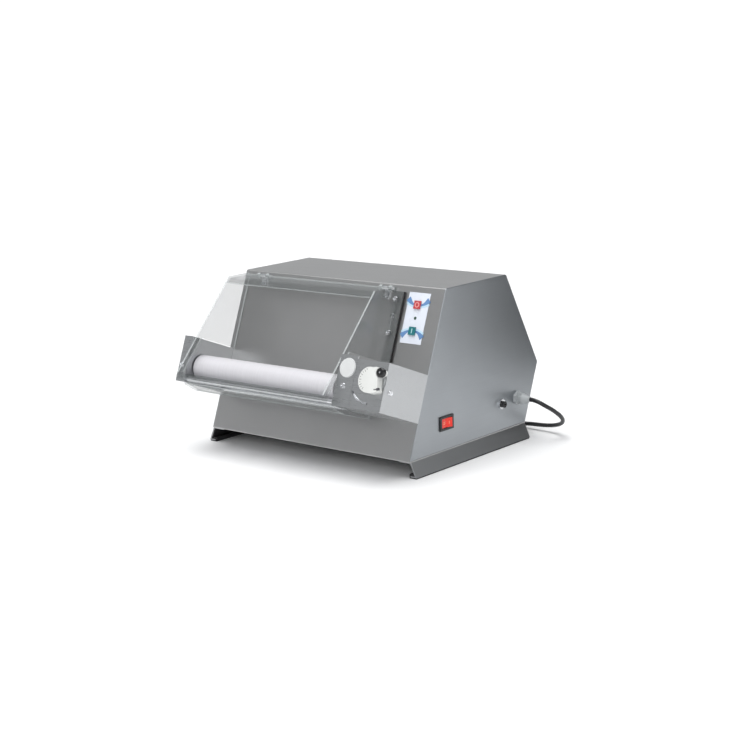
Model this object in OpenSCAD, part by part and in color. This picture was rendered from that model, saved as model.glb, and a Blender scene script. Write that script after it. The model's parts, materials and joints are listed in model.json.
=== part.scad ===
// Tabletop dough sheeter: a sheet-steel casing on two skids, a single pair of rollers
// across its leaning front, a clear hinged guard, and a lead for the mains.
//
// The row frame has +Z up, +X towards the switch side and -Y towards the user.
// Pieces on the leaning front are placed in a slope frame (x, s, d): s runs up the
// front from its bottom edge, and d stands out of it.

/* [Casing] */
// Width across the two side panels
body_w = 430; // [420:5:560]
// Height of the casing above the skids
body_h = 256; // [240:2:320]
// How far the front leans back from its bottom edge to its top edge
slope_run = 101; // [90:1:130]
// Depth of the flat top
top_depth = 161; // [130:1:220]
// How far the rear knee stands behind the top
knee_back = 86; // [60:1:110]
// How far the rear knee lies below the top
knee_drop = 159; // [120:1:180]
// How far the rear tucks in again below the knee
knee_tuck = 39; // [10:1:60]
// Thickness of the casing's sheet steel
sheet_t = 1.5; // [1:0.25:2]
// Outer radius of the casing's bends
bend_r = 4; // [3:0.5:8]

/* [Skids] */
// Height of the skids
skid_h = 27; // [22:1:40]
// How far each skid flares out past its side panel
skid_flare = 10; // [10:1:16]
// Thickness of the skid and rubber sheet
skid_t = 2; // [1.5:0.25:3]

/* [Rollers] */
// Length of each roller
roller_len = 308; // [240:1:320]
// Diameter of each roller
roller_d = 42; // [36:1:50]
// Gap between the rollers at the thinnest setting
roller_gap = 1; // [0.5:0.25:3]
// Travel of the front roller to the thickest setting
gap_travel = 3; // [1:0.25:4]
// Diameter of the roller shafts
shaft_d = 12; // [8:0.5:14]
// Height of the roller axes above the front's bottom edge, along the front
roller_s = 91; // [86:1:110]
// Distance of the rear roller's surface from the front panel
roller_clear = 1.5; // [1:0.25:5]

/* [Roller unit] */
// Where the unit's lower edge lies along the front
unit_low = 60; // [50:1:64]
// Height of the unit along the front
unit_h = 77; // [72:1:100]
// How far the unit stands out of the front
unit_d = 99; // [97:1:130]
// Thickness of the unit's walls
wall_t = 2; // [1.5:0.25:3]
// Width of the left wall's front flange, and how far the left cover stands past the casing
left_flange = 19; // [18:1:24]
// Width of the right wall's front flange
right_flange = 34; // [30:1:36]

/* [Guard] */
// Thickness of the clear guard
guard_t = 3; // [3:0.5:4]
// Depth of the guard's top strip
guard_top = 45; // [35:1:60]
// Depth of the guard's front bar below the hinge, along the front
guard_drop = 204; // [190:1:206]
// Diameter of the hinge rod
hinge_d = 5; // [4:0.5:6]

/* [Adjuster] */
// Diameter of the adjuster's dial
dial_d = 40; // [34:1:42]
// Width of the adjuster's grip
grip_w = 19; // [15:1:21]
// Length of the adjuster's grip
grip_len = 39; // [30:1:42]
// How far the grip stands out of the drive cover
grip_h = 12.5; // [10:0.5:20]
// Turn of the adjuster from the thinnest to the thickest setting, in degrees
adjust_turn = 54; // [36:1:56]
// Diameter of the plunger's knob
knob_d = 15; // [12:1:16]

/* [Controls] */
// Width of the control label
label_w = 42; // [36:1:44]
// Height of the control label
label_h = 82; // [70:1:90]
// Width of the stop and start keys
key_w = 13; // [10:1:15]
// Length of the power switch's bezel
switch_w = 34; // [30:1:40]
// Height of the power switch's bezel
switch_h = 23; // [20:1:28]

/* [Lead] */
// Diameter of the mains lead
cord_d = 7; // [7:1:7]
// Length of the cable gland outside the casing
gland_len = 27; // [22:1:32]

/* [Hidden] */
$fn = 48;

// Clearances
gap = 0.3;          // between pieces that only lie beside each other
running = 0.05;     // radial clearance of a running fit
slip = 0.2;         // radial clearance of a screw or a stem in its hole

half_w = body_w / 2;
slope_a = atan2(slope_run, body_h);
slope_len = norm([slope_run, body_h]);
axis_step = roller_d + roller_gap;
rear_d = roller_clear + roller_d / 2;
front_d = rear_d + axis_step;
unit_top = unit_low + unit_h;
wall_left_x = -half_w + left_flange - skid_flare;     // inner face of the left wall
side_gap = 2;                                         // roller end to wall or slide block
block_t = 12.5;                                       // thickness of the right slide block
roller_x0 = wall_left_x + side_gap;
roller_x1 = roller_x0 + roller_len;
wall_right_x = roller_x1 + side_gap + block_t + gap;  // inner face of the right wall
flange_x1 = wall_right_x + right_flange;
flange_top = unit_top + 4;

// Guard, in the slope frame
hinge_s = slope_len - 9.2;
hinge_h = 6.5;
hinge = [hinge_s, hinge_h];
lean = [-sin(slope_a), cos(slope_a)];                 // straight forwards, as (s, d)
rise = [cos(slope_a), sin(slope_a)];                  // straight up, as (s, d)
guard_x0 = wall_left_x + 0.5;
guard_x1 = wall_right_x - 1.8;
bar_s = hinge_s - guard_drop;
bar_d = unit_d + 20;
bar_h = 10;
bar_deep = 12;
arm_w = 10;                                           // width of the arms beside the rollers
strip_up = 2.4;                                       // the strip's top above the hinge axis
strip_end = hinge + strip_up * rise + guard_top * lean;
lip_len = 12;
foot_x1 = guard_x1 + 20.5;                            // outer edge of the guard's flange
foot_d = 1.2;
foot_t = 2;
guard_low = flange_top + 7;                           // where the side panels end above the unit
foot_s = [guard_low, hinge_s - 3];
foot_screw_x = guard_x1 + 5.5;
foot_screws = [[foot_screw_x, hinge_s - 16], [foot_screw_x, hinge_s - 71]];
hinge_t = 3;                                          // thickness of a hinge bracket's foot
hinge_w = 12;
knuckle_w = 6;

// The object is centred on its own bounding box, front bar to rear knee
front_reach = bar_s * sin(slope_a) - bar_d * cos(slope_a);
rear_reach = slope_run + top_depth + knee_back;
body_y = -(front_reach + rear_reach) / 2;

// Adjuster, in the slope frame
spindle_x = half_w - 30;
spindle_s = roller_s + 16;
spindle_r = 4.5;
dial_h = 4;
grip_lean = 13;                                       // lean of the grip at the thinnest setting
grip_x = 14.5;                                        // how far the grip lies off the spindle
plunger_r = 1.5;
plunger_arc_r = 29;
plunger_a = 25.5;
boss_r = 5;
boss_h = 5;
track_deep = 1.2;                                     // groove that the plunger's tip runs in
settings = 7;
stud_arc_r = 36;
stud_a = 271;
knob_h = 9;
stud_r = 1.5;

// Controls, in the slope frame
label_t = 0.6;
label_x = half_w - 47.5;
label_s = 223.5 * slope_len / 275.2;
key_pitch = 21;
key_t = 2.4;
stem_r = 2.5;
led_r = 2;

// Power switch, fuse holder and gland, as (y, z) from the front's bottom edge
switch_pos = [92.5, 43.5];
fuse_pos = [241, 44];
gland_pos = [286, 46];
switch_hole = [switch_w - 3, switch_h - 2];
fuse_r = 6;
gland_r = 8;

// Drive
gear_teeth = 16;
gear_w = 14;
gear_x = wall_right_x + wall_t + 3;
pulley_r = 25;
motor_pulley_r = 17;
pulley_w = 13;
pulley_x = gear_x + gear_w + 8;
belt_t = 2.5;
out_pos = [150, 93];                                  // output shaft, (y, z) in the casing
out_r = 7;
motor_r = 52;
motor_len = 150;
gearbox_w = 52;
gearbox_x = pulley_x - 14 - gearbox_w;
motor_x = gearbox_x - motor_len;
rotor_r = 26;
foot_pitch = 96;

screw_r = 2.5;
screw_head_r = 4.6;
screw_head_h = 2.6;

// Routes of the lead from the gland's tip: x, y, and the height above its lying level
lead_route = [
  [0, 0, 69.5], [10, 0, 68.6], [19, 1.5, 65.5], [26, 7, 60], [31, 16, 53.5], [33, 26, 46.5],
  [33, 38, 38.5], [30, 50, 30], [24, 59, 22.5], [14, 66, 16], [0, 71, 11], [-16, 74, 8],
  [-32, 75, 6.5], [-48, 76.5, 5.5], [-64, 78, 4], [-82, 81, 1.5], [-102, 85, 0], [-124, 89, 0],
  [-148, 92, 0], [-172, 94, 0], [-196, 94, 0], [-220, 93, 0], [-246, 89, 0], [-272, 87, 0]];
tail_route = [
  [-272, 177, 7], [-260, 177, 7], [-248, 177, 8.5], [-236, 176, 11.5], [-224, 174, 14],
  [-212, 173, 14.5]];
coil_r = 38;
coil_pos = [-272, 132];
gland_tip = [half_w + gland_len, body_y + gland_pos[0], skid_h + gland_pos[1]];

// ---------- helpers ----------

function unit(v) = v / norm(v);
function cross2(a, b) = a[0] * b[1] - a[1] * b[0];
// Where the line through p along u meets the line through q along v
function meet(p, u, q, v) = p + u * cross2(q - p, v) / cross2(u, v);
// Outline moved inwards by t; the points go round clockwise
function inward(a, b) = let (u = unit(b - a)) [u[1], -u[0]];
function inset(pts, t) = let (n = len(pts)) [for (i = [0:n - 1])
  let (a = pts[(i + n - 1) % n], b = pts[i], c = pts[(i + 1) % n])
  meet(a + t * inward(a, b), b - a, b + t * inward(b, c), c - b)];
// Outline with the corners named in list rounded to radius r
function arc_corner(a, b, c, r, n = 6) =
  let (u = unit(a - b), v = unit(c - b), half = acos(u * v) / 2, m = b + unit(u + v) * r / sin(half),
       p = b + u * r / tan(half) - m, q = b + v * r / tan(half) - m)
  [for (k = [0:n]) m + r * unit(p * (1 - k / n) + q * k / n)];
function rounded(pts, list, r) = let (n = len(pts)) [for (i = [0:n - 1])
  each len(search(i, list)) > 0
    ? arc_corner(pts[(i + n - 1) % n], pts[i], pts[(i + 1) % n], r) : [pts[i]]];

// The casing's outline as (y, z) from the front's bottom edge, run on below the base by drop
function outline(drop = 0) = [
  [-drop * slope_run / body_h, -drop], [slope_run, body_h], [slope_run + top_depth, body_h],
  [rear_reach, body_h - knee_drop],
  [rear_reach - knee_tuck * (1 + drop / (body_h - knee_drop)), -drop]];

module in_casing() translate([0, body_y, skid_h]) children();
module on_slope() in_casing() rotate([90 - slope_a, 0, 0]) children();
// A plate across X, from x0 to x1, of a shape drawn in the two other axes
module x_plate(x0, x1) translate([x0, 0, 0]) rotate([90, 0, 90]) linear_extrude(x1 - x0) children();
module x_rod(x0, x1, y, z, r) translate([x0, y, z]) rotate([0, 90, 0]) cylinder(h = x1 - x0, r = r);
module x_tube(x0, x1, y, z, r, hole) difference() {
  x_rod(x0, x1, y, z, r);
  x_rod(x0 - 1, x1 + 1, y, z, hole);
}
module block(lo, hi) translate(lo) cube(hi - lo);
module hole_z(x, y, r) translate([x, y, -100]) cylinder(h = 400, r = r);

// ---------- casing ----------

vent_xs = [for (i = [0:9]) -120 + i * 18];
hinge_xs = [wall_left_x + 41, wall_right_x - 15.8];
hinge_screw_s = hinge_s - 10;
tab_low = [unit_low, unit_low + 5];
tab_high = [roller_s + pulley_r + 5, unit_top];
tab_w = 17;
tab_screw = [wall_right_x + wall_t + tab_w / 2, (tab_high[0] + tab_high[1]) / 2];
// Small screws of the left wall's foot
foot_screw_r = 1.5;
left_screws = [for (s = [unit_low + 9, unit_top - 9]) [wall_left_x - wall_t - 3, s]];

module body_shell() color("silver") difference() {
  in_casing() x_plate(-half_w + sheet_t, half_w - sheet_t) difference() {
    intersection() {
      polygon(rounded(outline(10), [1, 2, 3], bend_r));
      translate([-50, 0]) square([rear_reach + 100, body_h + 10]);
    }
    polygon(rounded(inset(outline(20), sheet_t), [1, 2, 3], bend_r - sheet_t));
  }
  on_slope() {
    block([gear_x - 1.5, unit_low + 3, -9], [gear_x + gear_w + 2, tab_high[0] - 2, 9]);
    block([pulley_x - 2, unit_low + 3, -9], [pulley_x + pulley_w + 3, unit_top - 5, 9]);
    for (k = [-1, 1]) hole_z(label_x, label_s + k * key_pitch, stem_r + slip);
    hole_z(label_x, label_s, led_r + slip);
    for (x = hinge_xs) hole_z(x, hinge_screw_s, screw_r + slip);
    hole_z(tab_screw[0], tab_screw[1], screw_r + slip);
    for (p = left_screws) hole_z(p[0], p[1], foot_screw_r + slip);
  }
  in_casing() for (x = vent_xs) block([x, rear_reach - 45, 25], [x + 7, rear_reach + 5, 62]);
}

module side_outline() polygon(rounded(outline(0), [1, 2, 3], bend_r));

module side_panel_left() color("silver") in_casing() x_plate(-half_w, -half_w + sheet_t) side_outline();

module side_panel_right() color("silver") in_casing() difference() {
  x_plate(half_w - sheet_t, half_w) side_outline();
  x_plate(half_w - 5, half_w + 5) translate(switch_pos) square(switch_hole, center = true);
  x_rod(half_w - 5, half_w + 5, fuse_pos[0], fuse_pos[1], fuse_r + slip);
  x_rod(half_w - 5, half_w + 5, gland_pos[0], gland_pos[1], gland_r + slip);
}

base_y1 = rear_reach - knee_tuck;
motor_foot = [motor_x + motor_len / 2, out_pos[0]];
motor_bolts = [for (i = [-1, 1], j = [-1, 1])
  [motor_foot[0] + i * foot_pitch / 2, motor_foot[1] + body_y + j * foot_pitch / 2]];

module base_plate() color("silver") difference() {
  in_casing() block([-half_w, 0, -sheet_t], [half_w, base_y1, 0]);
  for (x = vent_xs) in_casing() block([x + 10, 40, -9], [x + 16, 90, 9]);
  for (p = motor_bolts) hole_z(p[0], p[1], screw_r + slip);
}

module skid(side) mirror([side < 0 ? 1 : 0, 0, 0])
  translate([0, body_y + base_y1 - 1, 0]) rotate([90, 0, 0]) linear_extrude(base_y1 - 3)
    polygon([
      [half_w - 24, skid_h - sheet_t], [half_w, skid_h - sheet_t],
      [half_w + skid_flare, skid_t], [half_w + skid_flare - 12, skid_t],
      [half_w + skid_flare - 12, 2 * skid_t], [half_w + skid_flare - skid_t - 1, 2 * skid_t],
      [half_w - skid_t, skid_h - sheet_t - skid_t], [half_w - 24, skid_h - sheet_t - skid_t]]);

module skid_left() color("darkgray") skid(-1);
module skid_right() color("darkgray") skid(1);

// Rubber that lines each skid and wraps its lower lip, so that it also stands on the bench
module skid_rubbers() color("black") for (side = [0, 1]) mirror([side, 0, 0])
  translate([0, body_y + base_y1 - 2, 0]) rotate([90, 0, 0]) linear_extrude(base_y1 - 5)
    polygon([
      [half_w + skid_flare - 0.6, 0], [half_w + skid_flare - 0.6, skid_t],
      [half_w + skid_flare - 12, skid_t], [half_w + skid_flare - 12, 2 * skid_t],
      [half_w + skid_flare - skid_t - 1.2, 2 * skid_t],
      [half_w - skid_t - 0.1, skid_h - sheet_t - skid_t - 0.1],
      [half_w - skid_t - 2.6, skid_h - sheet_t - skid_t - 0.1],
      [half_w + skid_flare - skid_t - 4.6, 2 * skid_t + 3],
      [half_w + skid_flare - 14.5, 2 * skid_t + 3], [half_w + skid_flare - 14.5, 0]]);

// ---------- roller unit ----------

bar_r = 4;
bar_places = [[unit_low + 6, 7], [unit_low + 6, unit_d - 7]];
bush_r = shaft_d / 2 + 3;
journal = shaft_d / 2;

// The slot in which a journal of the front roller travels
module travel_slot(x0, x1, r) x_plate(x0, x1) {
  translate([roller_s - r, front_d - 0.5]) square([2 * r, gap_travel + 1]);
  translate([roller_s, front_d - 0.5]) circle(r = r);
  translate([roller_s, front_d + gap_travel + 0.5]) circle(r = r);
}

module wall_holes(x0, x1) {
  x_rod(x0, x1, roller_s, rear_d, bush_r);
  travel_slot(x0, x1, journal + 0.5);
}

module unit_wall_left() color("silver") on_slope() difference() {
  union() {
    block([wall_left_x - wall_t, unit_low, 0.1], [wall_left_x, unit_top, unit_d]);
    block([wall_left_x - left_flange, unit_low, unit_d - wall_t], [wall_left_x, unit_top, unit_d]);
    block([-half_w, unit_low, 0.1], [wall_left_x, unit_top, 0.1 + wall_t]);
  }
  wall_holes(wall_left_x - 20, wall_left_x + 5);
  hole_z(left_screw[0], left_screw[1], screw_r + slip);
  for (p = left_screws) hole_z(p[0], p[1], foot_screw_r + slip);
}

cap_pos = [wall_right_x + 17.8, unit_top - 16];
flange_screw = [wall_right_x + 15.4, roller_s + 1.5];
left_screw = [wall_left_x - left_flange / 2 - 2.5, roller_s - 3];
side_screw = [roller_s + 2, unit_d - 16];
cap_r = 15.4;

module unit_wall_right() color("silver") on_slope() difference() {
  union() {
    block([wall_right_x, unit_low, 0.1], [wall_right_x + wall_t, unit_top, unit_d]);
    block([wall_right_x, unit_low, unit_d - wall_t], [flange_x1, flange_top, unit_d]);
    for (t = [tab_low, tab_high])
      block([wall_right_x, t[0], 0.1], [wall_right_x + wall_t + tab_w, t[1], 0.1 + wall_t]);
  }
  wall_holes(wall_right_x - 5, wall_right_x + 5);
  hole_z(cap_pos[0], cap_pos[1], 7);
  hole_z(flange_screw[0], flange_screw[1], screw_r + slip);
  hole_z(tab_screw[0], tab_screw[1], screw_r + slip);
}

module left_end_cover() color("silver") on_slope() difference() {
  block([wall_left_x - left_flange, unit_low + 0.2, wall_t + gap],
        [wall_left_x - wall_t - 0.2, unit_top - 0.2, unit_d - wall_t]);
  block([wall_left_x - left_flange + sheet_t, unit_low + 0.2 + sheet_t, wall_t],
        [wall_left_x, unit_top - 0.2 - sheet_t, unit_d - wall_t - sheet_t]);
  hole_z(left_screw[0], left_screw[1], screw_r + slip);
}

// An arc of a ring about the adjuster's axis, from angle a down to a - adjust_turn
module adjust_arc(r, half_gap, a, lo, hi) translate([spindle_x, spindle_s, lo])
  rotate(a - adjust_turn - 4) rotate_extrude(angle = adjust_turn + 8, $fn = 96)
    translate([r - half_gap, 0]) square([2 * half_gap, hi - lo]);

cover_face = unit_d - wall_t - 0.2 - sheet_t;         // inner side of the cover's front
module drive_cover() color("silver") on_slope() difference() {
  union() {
    block([wall_right_x + wall_t + 0.2, unit_low + 0.2, gap], [half_w, unit_top, unit_d - wall_t - 0.2]);
    block([flange_x1 + 0.3, unit_low + 0.2, gap], [half_w, unit_top, unit_d]);
  }
  block([wall_right_x, unit_low + 0.2 + sheet_t, -5], [half_w - sheet_t, unit_top - sheet_t, cover_face]);
  // Room for the right wall's tabs
  block([wall_right_x, unit_low - 5, -5], [wall_right_x + wall_t + tab_w + gap, unit_top + 5, wall_t + 0.4]);
  for (p = [flange_screw, cap_pos]) hole_z(p[0], p[1], p == cap_pos ? 7 : screw_r + slip);
  hole_z(spindle_x, spindle_s, spindle_r + running);
  // The plunger's track, with a dimple at each setting of the adjuster
  adjust_arc(plunger_arc_r, plunger_r + slip, plunger_a, unit_d - track_deep, unit_d + 5);
  for (k = [0:settings - 1]) translate([spindle_x, spindle_s, unit_d - track_deep - 0.6])
    rotate(plunger_a - k * adjust_turn / (settings - 1)) translate([plunger_arc_r, 0]) cylinder(h = 2, r = 1);
  // The curved slot of the adjuster's stop stud
  adjust_arc(stud_arc_r, stud_r + slip, stud_a, cover_face - 2, unit_d + 5);
  x_rod(half_w - 5, half_w + 5, side_screw[0], side_screw[1], screw_r + slip);
}

module cover_cap() color("white") on_slope() translate([cap_pos[0], cap_pos[1], 0]) {
  translate([0, 0, unit_d]) cylinder(h = 1.6, r1 = cap_r, r2 = cap_r - 0.8);
  translate([0, 0, unit_d - wall_t - 3]) cylinder(h = wall_t + 3, r = 7 - slip);
}

// A pan-head screw along +Z, its head's underside at z = 0
module screw(grip, slot = true, k = 1) {
  difference() {
    cylinder(h = screw_head_h * k, r1 = screw_head_r * k, r2 = (screw_head_r - 1) * k);
    if (slot) for (a = [0, 90]) rotate(a) block([-2.4, -0.5, screw_head_h - 1.2], [2.4, 0.5, 9]);
  }
  translate([0, 0, -grip]) cylinder(h = grip, r = screw_r * k);
}

module m5_screws() color("gainsboro") {
  on_slope() {
    translate([left_screw[0], left_screw[1], unit_d]) screw(8);
    translate([flange_screw[0], flange_screw[1], unit_d]) screw(5);
    translate([half_w, side_screw[0], side_screw[1]]) rotate([0, 90, 0]) screw(8);
    translate([tab_screw[0], tab_screw[1], wall_t + 0.1]) screw(6, false);
    for (p = left_screws) translate([p[0], p[1], wall_t + 0.1]) screw(6, false, foot_screw_r / screw_r);
    for (x = hinge_xs) translate([x, hinge_screw_s, hinge_t]) screw(8);
  }
  for (p = motor_bolts) translate([p[0], p[1], skid_h + bracket_t]) screw(8, false);
}

module tie_bars() color("gainsboro") on_slope()
  for (p = bar_places) x_rod(wall_left_x, wall_right_x, p[0], p[1], bar_r);

module rear_roller() color("white") on_slope()
  x_tube(roller_x0, roller_x1, roller_s, rear_d, roller_d / 2, journal + 2);

module front_roller() color("white") on_slope()
  x_tube(roller_x0, roller_x1, roller_s, front_d, roller_d / 2, journal + 2);

// Steel shaft: a body that fills the roller's bore, and a journal at each end
module roller_shaft(d, x0, x1) on_slope() {
  x_rod(roller_x0, roller_x1, roller_s, d, journal + 2);
  x_rod(x0, x1, roller_s, d, journal);
}
shaft_x0 = wall_left_x - wall_t - 8;
module rear_roller_shaft() color("gray") roller_shaft(rear_d, shaft_x0, pulley_x + pulley_w + 2);
module front_roller_shaft() color("gray") roller_shaft(front_d, shaft_x0, yoke_x1 + 3);

module rear_roller_bushes() color("goldenrod") on_slope() {
  x_tube(wall_left_x - wall_t, wall_left_x, roller_s, rear_d, bush_r, journal + running);
  x_tube(wall_left_x, roller_x0 - 0.4, roller_s, rear_d, bush_r + 2, journal + running);
  x_tube(wall_right_x, wall_right_x + wall_t, roller_s, rear_d, bush_r, journal + running);
  x_tube(roller_x1 + 0.4, wall_right_x, roller_s, rear_d, bush_r + 2, journal + running);
}

// The front roller's journals run in blocks that slide out from the front panel
block_s = [roller_s - 26, roller_s + 22];
block_d = [front_d - 19, front_d + 18.5];
module slide_block_left() color("white") on_slope() difference() {
  block([wall_left_x - wall_t - gap - 9, roller_s - 16, front_d - 14],
        [wall_left_x - wall_t - gap, roller_s + 16, front_d + 14]);
  x_rod(-half_w - 20, wall_left_x, roller_s, front_d, journal + running);
}

module slide_block_right() color("white") on_slope() difference() {
  block([roller_x1 + side_gap, block_s[0], block_d[0]], [wall_right_x - gap, block_s[1], block_d[1]]);
  x_rod(roller_x1, wall_right_x + 5, roller_s, front_d, journal + running);
}

// ---------- drive ----------

// Straight-sided teeth, cut slightly thin so that they never bind
gear_r = axis_step / 2;
tooth_m = axis_step / gear_teeth;
module gear(phase) let (ro = gear_r + 0.75 * tooth_m, ri = gear_r - 1.15 * tooth_m, p = 360 / gear_teeth)
  difference() {
    linear_extrude(gear_w) rotate(phase) polygon([for (i = [0:gear_teeth - 1]) each [
      for (c = [[ri, -0.36], [gear_r, -0.215], [ro, -0.11], [ro, 0.11], [gear_r, 0.215], [ri, 0.36]])
        c[0] * [cos((i + c[1]) * p), sin((i + c[1]) * p)]]]);
    translate([0, 0, -1]) cylinder(h = gear_w + 2, r = journal);
  }
// Local x of a gear runs along d, so that one tooth of the rear gear points at the front one
module gear_at(d, phase) on_slope() translate([gear_x, roller_s, d]) rotate([0, 90, 0])
  rotate(180) gear(phase);
module rear_gear() color("gray") gear_at(rear_d, 0);
module front_gear() color("gray") gear_at(front_d, 180 / gear_teeth + 180);

module pulley(x, y, z, r, hole) {
  x_tube(x + 1.5, x + pulley_w - 1.5, y, z, r, hole);
  for (k = [0, pulley_w - 1.5]) x_tube(x + k, x + k + 1.5, y, z, r + 2, hole);
}
module roller_pulley() color("gray") on_slope() pulley(pulley_x, roller_s, rear_d, pulley_r, journal);
module motor_pulley() color("gray") in_casing() pulley(pulley_x, out_pos[0], out_pos[1], motor_pulley_r, out_r);

// The roller shaft's axis in the casing, as (y, z)
roller_yz = roller_s * [sin(slope_a), cos(slope_a)] + rear_d * [-cos(slope_a), sin(slope_a)];
module belt_shape(grow) hull() {
  translate(roller_yz) circle(r = pulley_r + grow);
  translate(out_pos) circle(r = motor_pulley_r + grow);
}
module drive_belt() color("black") in_casing() x_plate(pulley_x + 2, pulley_x + pulley_w - 2)
  difference() {
    belt_shape(belt_t + 0.3);
    belt_shape(0.3);
  }

module motor_housing() color("dimgray") in_casing() difference() {
  union() {
    x_rod(motor_x, gearbox_x, out_pos[0], out_pos[1], motor_r);
    for (i = [0:11]) translate([0, out_pos[0], out_pos[1]]) rotate([i * 30 + 15, 0, 0])
      block([motor_x + 18, -1.5, motor_r - 1], [gearbox_x - 12, 1.5, motor_r + 4]);
  }
  x_rod(motor_x + 6, gearbox_x - 6, out_pos[0], out_pos[1], rotor_r + 0.8);
  x_rod(motor_x - 5, gearbox_x + 5, out_pos[0], out_pos[1], out_r + running);
}

module motor_rotor() color("silver") in_casing() {
  x_rod(motor_x + 10, gearbox_x - 10, out_pos[0], out_pos[1], rotor_r);
  x_rod(motor_x - 3, gearbox_x + 8, out_pos[0], out_pos[1], out_r);
}

module gearbox_housing() color("slategray") in_casing() difference() {
  block([gearbox_x, out_pos[0] - 42, out_pos[1] - 46], [gearbox_x + gearbox_w, out_pos[0] + 42, out_pos[1] + 46]);
  block([gearbox_x + 5, out_pos[0] - 37, out_pos[1] - 41],
        [gearbox_x + gearbox_w - 5, out_pos[0] + 37, out_pos[1] + 41]);
  x_rod(gearbox_x - 5, gearbox_x + gearbox_w + 5, out_pos[0], out_pos[1], out_r + running);
}

module output_shaft() color("silver") in_casing() {
  x_rod(gearbox_x + 12, pulley_x + pulley_w + 2, out_pos[0], out_pos[1], out_r);
  x_rod(gearbox_x + 16, gearbox_x + gearbox_w - 8, out_pos[0], out_pos[1], 30);
}

bracket_t = 4;
module motor_bracket() color("silver") in_casing() difference() {
  union() {
    block([motor_foot[0] - 60, motor_foot[1] - 60, 0], [motor_foot[0] + 60, motor_foot[1] + 60, bracket_t]);
    for (i = [-1, 1]) block([motor_foot[0] + i * 34 - 4, motor_foot[1] - 40, bracket_t],
                            [motor_foot[0] + i * 34 + 4, motor_foot[1] + 40, out_pos[1] - 20]);
  }
  x_rod(motor_x, gearbox_x, out_pos[0], out_pos[1], motor_r + 4.1);
  for (i = [-1, 1], j = [-1, 1])
    hole_z(motor_foot[0] + i * foot_pitch / 2, motor_foot[1] + j * foot_pitch / 2, screw_r + slip);
}

// ---------- scrapers ----------

blade_t = 1.5;
blade_s = unit_low + 6 + bar_r + 0.05;
// A blade from the top of a tie bar to just short of its roller
module scraper(d_bar, d_tip) on_slope() x_plate(roller_x0 + 2, roller_x1 - 2)
  let (k = sign(d_tip - d_bar), tip_s = roller_s - roller_d / 2 - 0.4) polygon([
    [blade_s, d_bar - k * blade_t], [blade_s + 0.8, d_bar - k * blade_t],
    [tip_s, d_tip], [tip_s - 1, d_tip], [blade_s, d_bar + k * blade_t]]);
module roller_scrapers() color("gainsboro") {
  scraper(7, rear_d - 1);
  scraper(unit_d - 7, front_d + 1);
}

// ---------- adjuster ----------

yoke_x0 = spindle_x - 13;
yoke_x1 = spindle_x + 13;
module adjuster_yoke() color("silver") on_slope() difference() {
  block([yoke_x0, roller_s - 12, front_d - 9], [yoke_x1, spindle_s + 11, front_d + 9]);
  x_rod(yoke_x0 - 5, yoke_x1 + 5, roller_s, front_d, journal + running);
  translate([spindle_x, spindle_s, 0]) cylinder(h = 200, r = spindle_r + running);
}

module adjuster_screw() color("silver") on_slope() translate([spindle_x, spindle_s, 0]) {
  translate([0, 0, front_d - 14]) cylinder(h = unit_d + dial_h - 2 - front_d + 14, r = spindle_r);
  translate([0, 0, cover_face - 3]) cylinder(h = 2.8, r = 10);
  // Quadrant behind the curved slot, and the stud on it that meets the slot's ends
  translate([0, 0, cover_face - 2.6]) rotate(stud_a - adjust_turn - 4)
    rotate_extrude(angle = adjust_turn + 22, $fn = 96) translate([8, 0]) square([stud_arc_r - 5, 2.2]);
  rotate(stud_a) translate([stud_arc_r, 0, cover_face - 1]) cylinder(h = unit_d - cover_face + 1, r = stud_r);
}

// Grip beside the dial's middle, longer than it is wide, with rounded corners
module grip_shape() translate([grip_x, -0.5]) rotate(grip_lean) offset(r = 3)
  square([grip_w - 6, grip_len - 6], center = true);
module adjuster_dial() color("white") on_slope() difference() {
  translate([spindle_x, spindle_s, unit_d + gap]) {
    cylinder(h = dial_h, r = dial_d / 2, $fn = 96);
    linear_extrude(grip_h) grip_shape();
    rotate(plunger_a) {
      linear_extrude(boss_h) translate([dial_d / 2 - 4, -boss_r]) square([plunger_arc_r - dial_d / 2 + 4, 2 * boss_r]);
      translate([plunger_arc_r, 0, 0]) cylinder(h = boss_h, r = boss_r);
    }
  }
  translate([spindle_x, spindle_s, 0]) {
    cylinder(h = unit_d + dial_h - 2, r = spindle_r);
    rotate(plunger_a) translate([plunger_arc_r, 0, unit_d]) {
      cylinder(h = 60, r = plunger_r + running);
      translate([0, 0, 1.3]) cylinder(h = boss_h - 2.2, r = boss_r - 1.8);
      translate([0, 0, gap + boss_h]) cylinder(h = 60, r = knob_d / 2 + 0.6);
    }
  }
}

// Pull knob on a pin whose collar a spring pushes towards the cover
knob_z = unit_d + gap + boss_h + 0.4;
module at_plunger() on_slope() translate([spindle_x, spindle_s, 0]) rotate(plunger_a)
  translate([plunger_arc_r, 0, 0]) children();
module index_plunger() color("black") at_plunger() {
  translate([0, 0, knob_z]) {
    cylinder(h = 2, r1 = knob_d / 2 - 2, r2 = knob_d / 2);
    translate([0, 0, 2]) cylinder(h = knob_h - 4, r = knob_d / 2);
    translate([0, 0, knob_h - 2]) cylinder(h = 2, r1 = knob_d / 2, r2 = knob_d / 2 - 2);
  }
  translate([0, 0, unit_d - track_deep + 0.1]) cylinder(h = knob_z + 2 - unit_d, r = plunger_r);
  translate([0, 0, unit_d + 1.5]) cylinder(h = 0.8, r = boss_r - 2.1);
}

// Coil spring, drawn as closed rings on one sleeve
module plunger_spring() color("silver") at_plunger() translate([0, 0, unit_d + 2.4]) {
  difference() {
    cylinder(h = 1.6, r = 2.4);
    translate([0, 0, -1]) cylinder(h = 6, r = plunger_r + 0.2);
  }
  for (k = [0:2]) translate([0, 0, 0.25 + k * 0.55]) rotate_extrude()
    translate([2.4, 0]) circle(r = 0.22, $fn = 16);
}

// ---------- guard ----------

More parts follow.
